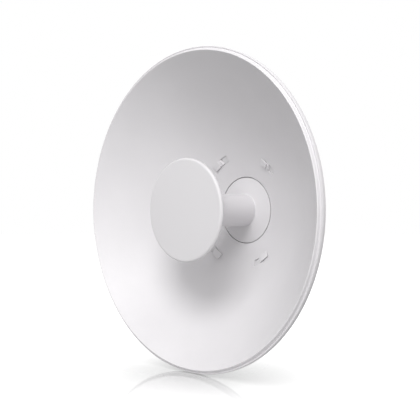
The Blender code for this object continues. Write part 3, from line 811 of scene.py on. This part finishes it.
def make_hood():
    """The hood over the ports, with a row of notches in each side."""
    low, high = front_box("port_hood")
    half_height = (HOOD_TOP - low.y) / 2
    body = slab(high.x, half_height, low.z, HOOD_FRONT_STATION, HOOD_CORNER, HOOD_ROUND,
                steps=8, edge_steps=8)
    moved(body, (0, (low.y + HOOD_TOP) / 2, 0))
    cutters = [turned(housing_outline(GAP), 192)]
    cutters += slabs([(side * high.x, NOTCH_UP, shift) for shift in NOTCH_SHIFTS
                      for side in (-1, 1)], 0.001, 0.005, *NOTCH_STATIONS, 0.0004, 0.0002, 3, 1)
    piece("port_hood", carve(body, cutters, bevel=0.00025), HOUSING_PLASTIC, sharp=35)


def make_cover():
    """The snap-on cover over the ports, with a raised border and pull ribs."""
    low, high, middle, half = centred_box("port_cover")
    plate = slab(half.x, half.y, low.z + 0.0006, high.z, COVER_CORNER, 0.0006, 8, 4)
    border = slab(half.x, half.y, low.z, low.z + BORDER_BASE, COVER_CORNER, 0.0005, 8, 4)
    field = slab(half.x - BORDER_WIDTH, half.y - BORDER_WIDTH, low.z - CUT_PAST,
                 low.z + BORDER_HEIGHT, 0.0032, 0.0003, 8, 2)
    cover = carve(carve(plate, [border], "UNION"), [field], bevel=0.00012)
    ribs = slabs(COVER_RIB_PLACES, 0.013, 0.0006, low.z + 0.0002, low.z + BORDER_BASE,
                 0.0005, 0.0003, 4, 2)
    cover = carve(cover, ribs, "UNION")
    piece("port_cover", moved(cover, (0, middle.y, 0)), COVER_PLASTIC, sharp=34)


def make_latch():
    """The latch, with grip ridges across it."""
    low, high, middle, half = centred_box("release_latch")
    body = slab(half.x, half.y, low.z, high.z, 0.0016, 0.0007, edge_steps=4)
    grooves = slabs(LATCH_GROOVE_PLACES, 0.00035, half.y - LATCH_MARGIN,
                    low.z - LATCH_GROOVE_DEPTH, low.z + LATCH_GROOVE_DEPTH, 0.0003, 0.0001, 3, 1)
    latch = carve(body, grooves, bevel=0.00008)
    piece("release_latch", moved(latch, (0, middle.y, 0)), LATCH_PLASTIC)


def make_grommet():
    """The rubber grommet: a flanged ring round a slit membrane."""
    low, high, middle, half = centred_box("cable_grommet")
    radius = half.x
    height = high.y - low.y
    outline = [
        (0, 0, 0), (radius, 0, 0.0004), (radius, -0.0016, 0.0006),
        (radius - 0.0014, -0.0022, 0.0006), (radius - 0.002, -height, 0.0008),
        (0.0046, -height, 0.0006), (0.004, -height + 0.0018, 0.0006),
        (0.0012, -height + 0.0026, 0.0003), (0.001, -0.0012, 0.0002), (0, -0.0012, 0),
    ]
    slits = [placed(slab(0.0036, 0.00018, -height - CUT_PAST, -0.0016, 0.0001, 0.00005, 2, 1),
                    Matrix.Rotation(pi * number / GROMMET_SLITS, 4, "Z"))
             for number in range(GROMMET_SLITS)]
    shape = carve(turned(fillet(outline), 64), slits)
    upright = pose((0, high.y, middle.z), -pi / 2, "X")
    piece("cable_grommet", placed(shape, upright), RUBBER)


def make_window():
    """The lamp window, and four lamps in holes through its face."""
    low, high, middle, half = centred_box("indicator_window")
    side = pose((0, middle.y, middle.z), pi / 2, "Y")
    body = slab(half.z, half.y, low.x, high.x - 0.0002, 0.0022, 0.0003)
    holes = [bore_forward(LAMP_HOLE_RADIUS, along, 0, high.x - LAMP_SEAT, high.x + CUT_PAST)
             for along in LAMP_PLACES]
    window = carve(body, holes, bevel=0.00006)
    piece("indicator_window", placed(window, side), LENS)
    dome = [(radius, high.x - inside) for radius, inside in LAMP_DOME]
    lamps = joined(*[moved(turned(dome, 32), (along, 0, 0)) for along in LAMP_PLACES])
    piece("lamp_lenses", placed(lamps, side), LAMP, "indicator_window", stands_for=False)


def make_ground_screw():
    """The earthing screw: a toothed washer under a slotted head."""
    low, high, middle, half = centred_box("ground_screw")
    proud = high.x - low.x
    rings = []
    for inset, height in WASHER_EDGE:
        points = ring(half.y - inset, height, WASHER_STEPS)
        for i, point in enumerate(points):
            if (i // TOOTH_STEPS) % 2:
                point.x *= TOOTH_SCALE
                point.y *= TOOTH_SCALE
        rings.append(points)
    head = turned(fillet([(0, proud, 0), (GROUND_HEAD_RADIUS, proud, 0.0011),
                          (GROUND_HEAD_RADIUS, GROUND_HEAD_SEAT, 0.0001),
                          (0, GROUND_HEAD_SEAT, 0)], 6), 64)
    slot = slab(0.0006, 0.006, proud - GROUND_SLOT_DEPTH, proud + SLOT_PAST, 0.0002, 0.0001,
                2, 1)
    head = carve(head, [slot], bevel=0.00008)
    screw = carve(loft(rings), [head], "UNION")
    sideways = pose((high.x, middle.y, middle.z), -pi / 2, "Y")
    piece("ground_screw", placed(screw, sideways), BOLT_ZINC)


# Brackets of bent zinc-plated sheet
STEEL = 0.0025
POLE_WEB = 0.003
BEND_RADIUS = 0.0022
BRACKET_BEVEL = 0.0003
EAR_HALF_HEIGHT = 0.036
EAR_ROUND = 0.014
EAR_CUT_HALF_WIDTH = 0.05
# How far the cutters' outlines lie outside the webs, in station and in height
KEEP_FORWARD = 0.002
KEEP_UP = 0.001
TILT_EAR_ROOT = 0.001
TILT_SWING = 13.0
ARC_STEPS = 16
END_STEPS = 12
BORE_STEPS = 40
BAND_SLOT_ACROSS = 0.021
BAND_SLOT_UP = 0.043
WALL_HOLE_UP = 0.022
WALL_HOLE_RADIUS = 0.0034


def channel(half_width, web_back, web_front, ear_end, half_height):
    """A U-shaped channel: its web between two stations, its ears out to a third."""
    forward = ear_end > web_front
    outer = web_back if forward else web_front
    inner = web_front if forward else web_back
    section = fillet([
        (-half_width, ear_end, 0), (-half_width, outer, BEND_RADIUS + STEEL),
        (half_width, outer, BEND_RADIUS + STEEL), (half_width, ear_end, 0),
        (half_width - STEEL, ear_end, 0), (half_width - STEEL, inner, BEND_RADIUS),
        (-half_width + STEEL, inner, BEND_RADIUS), (-half_width + STEEL, ear_end, 0),
    ], 8, closed=True)
    return loft([[Vector((point.x, up, point.y)) for point in section]
                 for up in (-half_height, half_height)])


def prism_across(outline):
    """An outline of (station, up) points carried across both ears of a bracket."""
    return loft([[Vector((across, point[1], point[0])) for point in outline]
                 for across in (-EAR_CUT_HALF_WIDTH, EAR_CUT_HALF_WIDTH)])


def side_view(lower):
    """What is kept of a bracket, from the lower half of its outline in the side view."""
    upper = [(station, -up, corner) for station, up, corner in reversed(lower)]
    return prism_across(fillet(lower + upper, 14))


def bolt_bore(up):
    return prism_across([on_circle((BOLT_STATION, up), BOLT_HOLE_RADIUS,
                                   2 * pi * i / BORE_STEPS) for i in range(BORE_STEPS)])


def arc_slot():
    """The outline of the slot for the lock bolts, an arc round the pivot with round ends."""
    pivot = (BOLT_STATION, PIVOT_UP)
    reach = PIVOT_UP - LOCK_UP
    low = radians(-90 - TILT_SWING)
    high = radians(-90 + TILT_SWING)

    def side(radius, start, end):
        return [on_circle(pivot, radius, start + (end - start) * k / ARC_STEPS)
                for k in range(ARC_STEPS + 1)]

    def end_cap(at, start):
        return [on_circle(on_circle(pivot, reach, at), BOLT_HOLE_RADIUS,
                          start - pi * k / END_STEPS) for k in range(1, END_STEPS)]

    return (side(reach - BOLT_HOLE_RADIUS, low, high) + end_cap(high, high + pi)
            + side(reach + BOLT_HOLE_RADIUS, high, low) + end_cap(low, low))


def make_tilt_bracket():
    low, high = front_box("tilt_bracket")
    web = high.z - STEEL
    below = -high.y - KEEP_UP
    body = channel(high.x, web, high.z, low.z, high.y)
    keep = side_view([(high.z + KEEP_FORWARD, below, 0), (web - TILT_EAR_ROOT, below, 0),
                      (low.z, -EAR_HALF_HEIGHT, EAR_ROUND)])
    cutters = [bolt_bore(PIVOT_UP), prism_across(arc_slot())]
    cutters += screw_holes(high.z - SCREW_HOLE_DEPTH, high.z + HOLE_PAST)
    bracket = carve(carve(body, [keep], "INTERSECT"), cutters, bevel=BRACKET_BEVEL)
    piece("tilt_bracket", bracket, TILT_ZINC)


def make_pole_bracket():
    low, high = front_box("pole_bracket")
    notch = POLE_WEB + BEND_RADIUS
    behind = low.z - HOLE_PAST
    ahead = POLE_WEB + HOLE_PAST
    body = channel(high.x, low.z, POLE_WEB, high.z, high.y)
    below = -high.y - KEEP_UP
    keep = side_view([(low.z - KEEP_FORWARD, below, 0), (notch, below, 0),
                      (notch, -EAR_HALF_HEIGHT, 0.0012), (high.z, -EAR_HALF_HEIGHT, EAR_ROUND)])
    cutters = [bolt_bore(up) for up in (PIVOT_UP, LOCK_UP)]
    for side in (1, -1):
        cutters += slabs([(across, side * BAND_SLOT_UP, 0)
                          for across in (-BAND_SLOT_ACROSS, BAND_SLOT_ACROSS)],
                         0.00175, 0.008, behind, ahead, 0.0016, 0.0002, 5, 1)
        cutters.append(bore_forward(WALL_HOLE_RADIUS, 0, side * WALL_HOLE_UP, behind, ahead))
    bracket = carve(carve(body, [keep], "INTERSECT"), cutters, bevel=BRACKET_BEVEL)
    piece("pole_bracket", bracket, POLE_ZINC)


# Fasteners
CHAMFER_INSET = 0.0003
CHAMFER_OUT = 0.0001
CHAMFER_SLOPE = 0.58
THREAD_END_INSET = 0.0004
THREAD_END_RISE = 0.0002
HEAD_HEIGHT = 0.0052
BOLT_SEAT_HEIGHT = 0.0014
SHANK_LENGTH = 0.0042
NUT_MOUTH_RADIUS = 0.0054
NUT_BORE_RADIUS = 0.0042
SCREW_HEAD_RADIUS = 0.0048
SCREW_HEAD_HEIGHT = 0.0028
RECESS_DEPTH = 0.0016
BOLT_WASHER = [(0, 0, 0), (0.0086, 0, 0.0002), (0.0088, 0.0006, 0.0004),
               (0.0074, 0.0016, 0.0006), (0, 0.0016, 0)]


def hexagon(low, high, both=True):
    """A hexagonal prism with its corners turned off at its high end, or at both ends."""
    body = loft([ring(HEX_RADIUS, z, 6) for z in (low, high)])
    flat = HEX_RADIUS * cos(pi / 6)
    outside = HEX_RADIUS + CHAMFER_OUT
    rise = (HEX_RADIUS - flat + CHAMFER_INSET) * CHAMFER_SLOPE
    outline = [(0, low)]
    if both:
        outline += [(flat - CHAMFER_INSET, low), (outside, low + rise)]
    else:
        outline.append((outside, low))
    outline += [(outside, high - rise), (flat - CHAMFER_INSET, high), (0, high)]
    return carve(body, [turned(outline, 72)], "INTERSECT")


def thread(radius, depth, pitch, low, high, steps=36, rows=8):
    """A threaded rod with a real helix, and a chamfered end at the high side."""
    count = int((high - low) / pitch * rows)
    root = radius - depth
    rings = [ring(radius, low, steps) for radius in (0, root)]
    for k in range(count + 1):
        z = low + (high - low) * k / count
        fade = min(1.0, (high - z) / (pitch * 0.9))
        points = []
        for i in range(steps):
            phase = (z / pitch - i / steps) % 1.0
            tooth = max(0.0, min(1.0, 1.5 - abs(phase - 0.5) * 4.0))
            size = root + depth * tooth * fade
            points.append(Vector((*on_circle((0, 0), size, 2 * pi * i / steps), z)))
        rings.append(points)
    rings += [ring(end, high + THREAD_END_RISE, steps) for end in (root - THREAD_END_INSET, 0)]
    return loft(rings)


def make_nut(name, sideways):
    near, far = sorted(abs(corner.x) for corner in front_box(name))
    bore = turned([
        (0, near - CUT_PAST), (NUT_MOUTH_RADIUS, near - CUT_PAST),
        (NUT_BORE_RADIUS, near + 0.0006), (NUT_BORE_RADIUS, far - 0.0006),
        (NUT_MOUTH_RADIUS, far + CUT_PAST), (0, far + CUT_PAST),
    ], 48)
    nut = carve(hexagon(near, far), [bore], bevel=0.0001)
    piece(name, placed(nut, sideways), BOLT_ZINC, sharp=38)


def make_bolt(name, sideways):
    """A hexagon bolt with a washer face and a dished head, from the outside inward."""
    inside, outside = sorted(abs(corner.x) for corner in front_box(name))
    seat = outside - HEAD_HEIGHT - BOLT_SEAT_HEIGHT
    washer = turned(fillet(shifted(BOLT_WASHER, 0, seat)), 72)
    dish = turned([(0, outside - 0.0004), (0.0042, outside - 0.0004),
                   (0.0045, outside + CUT_PAST), (0, outside + CUT_PAST)], 48)
    head = carve(hexagon(seat + 0.001, outside, both=False), [dish], bevel=0.0001)
    shank = cylinder(BOLT_RADIUS, seat + 0.0005, seat - SHANK_LENGTH, 36)
    rod = thread(BOLT_RADIUS, 0.0007, 0.00125, -(seat - SHANK_LENGTH + THREAD_END_RISE),
                 -(inside + THREAD_END_RISE))
    placed(rod, Matrix.Scale(-1, 4, (0, 0, 1)))
    bolt = joined(carve(carve(washer, [head], "UNION"), [shank], "UNION"), rod)
    piece(name, placed(bolt, sideways), BOLT_ZINC, sharp=38)


def make_bolts():
    for hand, side in (("left", -1), ("right", 1)):
        for job, up in (("pivot", PIVOT_UP), ("lock", LOCK_UP)):
            sideways = pose((0, up, BOLT_STATION), side * pi / 2, "Y")
            make_bolt("%s_bolt_%s" % (job, hand), sideways)
            make_nut("%s_nut_%s" % (job, hand), sideways)


def make_screw(name, across, up):
    """A pan-head screw with a cross recess."""
    low, high = front_box(name)
    seat = low.z + SCREW_HEAD_HEIGHT
    head = turned(fillet([(0, low.z, 0), (0.003, low.z + 0.0001, 0.001),
                          (SCREW_HEAD_RADIUS, low.z + RECESS_DEPTH, 0.0014),
                          (SCREW_HEAD_RADIUS, seat, 0.0002), (0, seat, 0)], 6), 64)
    cuts = [placed(slab(0.0026, 0.0005, low.z - CUT_PAST, low.z + RECESS_DEPTH, 0.0003, 0.0002,
                        3, 2), Matrix.Rotation(turn, 4, "Z")) for turn in (0, pi / 2)]
    rod = thread(SCREW_RADIUS, 0.0005, 0.001, seat - GAP, high.z - GAP, 28, 6)
    screw = joined(carve(head, cuts, bevel=0.00008), rod)
    piece(name, moved(screw, (across, up, 0)), BOLT_ZINC, sharp=38)


def make_bracket_screws():
    for hand, across in (("left", -SCREW_ACROSS), ("right", SCREW_ACROSS)):
        for level, up in (("upper", SCREW_UP), ("lower", -SCREW_UP)):
            make_screw("bracket_screw_%s_%s" % (level, hand), across, up)


for make in (make_reflector, make_lugs, make_feed, make_cone, make_plate, make_cap, make_housing,
             make_hood, make_cover, make_latch, make_grommet, make_window, make_ground_screw,
             make_tilt_bracket, make_pole_bracket, make_bolts, make_bracket_screws):
    make()


# Floor, light and camera
FLOOR_RADIUS = 6.0
FLOOR_DROP = 0.0002
FLOOR_TONES = (0.15,) * 3, (0.16,) * 3
FLOOR_GLOW = 0.2
FLOOR_MIRROR = 0.5
FLOOR_BOUNCE = (0.095,) * 3
# The floor's own light on the object: all over, and in a pool below it
FLOOR_LIGHT = 0.098
POOL_LIGHT = 0.351
# Where the mirror image, the glow and the pool start and stop to change, from below the rim
MIRROR_FADE = (0.02, 0.25)
GLOW_FADE = (0.02, 0.36)
POOL_FADE = (0.1, 0.3)
# The surround is brightest on the camera's side and opposite it, and a little so overhead
SURROUND_AXIS = (0.7071, -0.7071, 0.0)
SURROUND_LIGHT = 1.5
SKY_LIGHT = 0.283
LAMP_DISTANCE = 1.6
# Each lamp: degrees to the right of the dish's front, degrees up, size, power, what it lights
LAMPS = {
    "key": (32, 41, 0.9, 15.9, "object"),
    "overhead": (0, 90, 4.5, 286.0, "floor"),
}
CAMERA_PLACE = (0.75022, -0.93258, 0.0002)
CAMERA_AIM = (-1, 1, 0)
CAMERA_LENS = 68.97


def make_floor():
    """A pale floor that mirrors the object faintly, less and less away from where it stands."""
    shape = bmesh.new()
    bmesh.ops.create_circle(shape, cap_ends=True, segments=96, radius=FLOOR_RADIUS)
    floor = in_scene("floor", mesh_of("floor", shape))
    floor.location = (0, -RIM_STATION, -DISH_RADIUS - FLOOR_DROP)
    looks = Looks("pale_floor", {"IOR": 1.45, "Emission Color": (1, 1, 1, 1)})
    path = looks.node("ShaderNodeLightPath")
    seen = path["Is Camera Ray"]
    pale = looks.blend(looks.ramp(looks.noise(3, 2), 0, 1), *FLOOR_TONES)
    away = looks.node("ShaderNodeVectorMath", {0: looks.place}, operation="LENGTH")["Value"]
    pool = looks.ramp(away, FLOOR_LIGHT + POOL_LIGHT, FLOOR_LIGHT, *POOL_FADE)
    glow = looks.ramp(away, FLOOR_GLOW, 1.0, *GLOW_FADE)
    lit = looks.math("MULTIPLY", path["Is Diffuse Ray"], pool)
    looks.give(looks.shader, {
        "Specular IOR Level": looks.ramp(away, FLOOR_MIRROR, 0.0, *MIRROR_FADE),
        "Emission Strength": looks.math("ADD", looks.math("MULTIPLY", seen, glow), lit)})
    floor.data.materials.append(looks.finish(looks.blend(seen, FLOOR_BOUNCE, pale),
                                             looks.ramp(looks.noise(40, 2), 0.03, 0.04)))
    floor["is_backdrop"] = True
    return floor


def make_lamps(floor):
    """A soft key from the upper right in front, and an overhead lamp for the floor."""
    middle = Vector((0, -RIM_STATION, 0))
    groups = {}
    for name, items in {"object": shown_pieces(), "floor": [floor]}.items():
        groups[name] = bpy.data.collections.new("%s_in_light" % name)
        for item in items:
            groups[name].objects.link(item)
    for name, (azimuth, elevation, size, power, lit) in LAMPS.items():
        a, e = radians(azimuth), radians(elevation)
        toward = Vector((sin(a) * cos(e), -cos(a) * cos(e), sin(e)))
        data = bpy.data.lights.new(name, "AREA")
        lamp = in_scene(name, changed(data, shape="DISK", size=size, energy=power))
        lamp.location = middle + toward * LAMP_DISTANCE
        lamp.rotation_euler = (-toward).to_track_quat("-Z", "Y").to_euler()
        lamp.visible_camera = False
        lamp.light_linking.receiver_collection = groups[lit]


def make_surround():
    """Light from all round, and a pure white backdrop for what the camera and mirrors see."""
    world = bpy.data.worlds.new("studio")
    world.use_nodes = True
    nodes = Nodes(world.node_tree)
    place = nodes.node("ShaderNodeTexCoord")["Generated"]

    def toward(direction, operation, amount):
        """Light that grows with how much a ray goes along a direction."""
        along = nodes.node("ShaderNodeVectorMath", {0: place, 1: direction},
                           operation="DOT_PRODUCT")["Value"]
        return nodes.math("MULTIPLY", nodes.math(operation, along, 0.0), amount)

    light = nodes.math("ADD", toward(SURROUND_AXIS, "ABSOLUTE", SURROUND_LIGHT),
                       toward((0, 0, 1), "MAXIMUM", SKY_LIGHT))
    white = {"Color": (1, 1, 1, 1)}
    surround = nodes.give(nodes.tree.nodes["Background"], {**white, "Strength": light})
    backdrop = nodes.node("ShaderNodeBackground", {**white, "Strength": 1.0})
    path = nodes.node("ShaderNodeLightPath")
    seen = nodes.math("MAXIMUM", path["Is Camera Ray"], path["Is Glossy Ray"])
    mix = nodes.node("ShaderNodeMixShader", {0: seen, 1: surround.outputs[0], 2: backdrop[0]})
    nodes.give(nodes.tree.nodes["World Output"], {"Surface": mix[0]})
    bpy.context.scene.world = world


def make_camera():
    """The photograph's view: level with the dish's middle and 45 degrees to its right."""
    data = bpy.data.cameras.new("camera")
    data.lens = CAMERA_LENS
    camera = in_scene("camera", data)
    camera.location = CAMERA_PLACE
    camera.rotation_euler = Vector(CAMERA_AIM).to_track_quat("-Z", "Y").to_euler()
    bpy.context.scene.camera = camera


make_lamps(make_floor())
make_surround()
make_camera()
scene = bpy.context.scene
scene.view_settings.view_transform = "Standard"
scene.view_settings.look = "None"
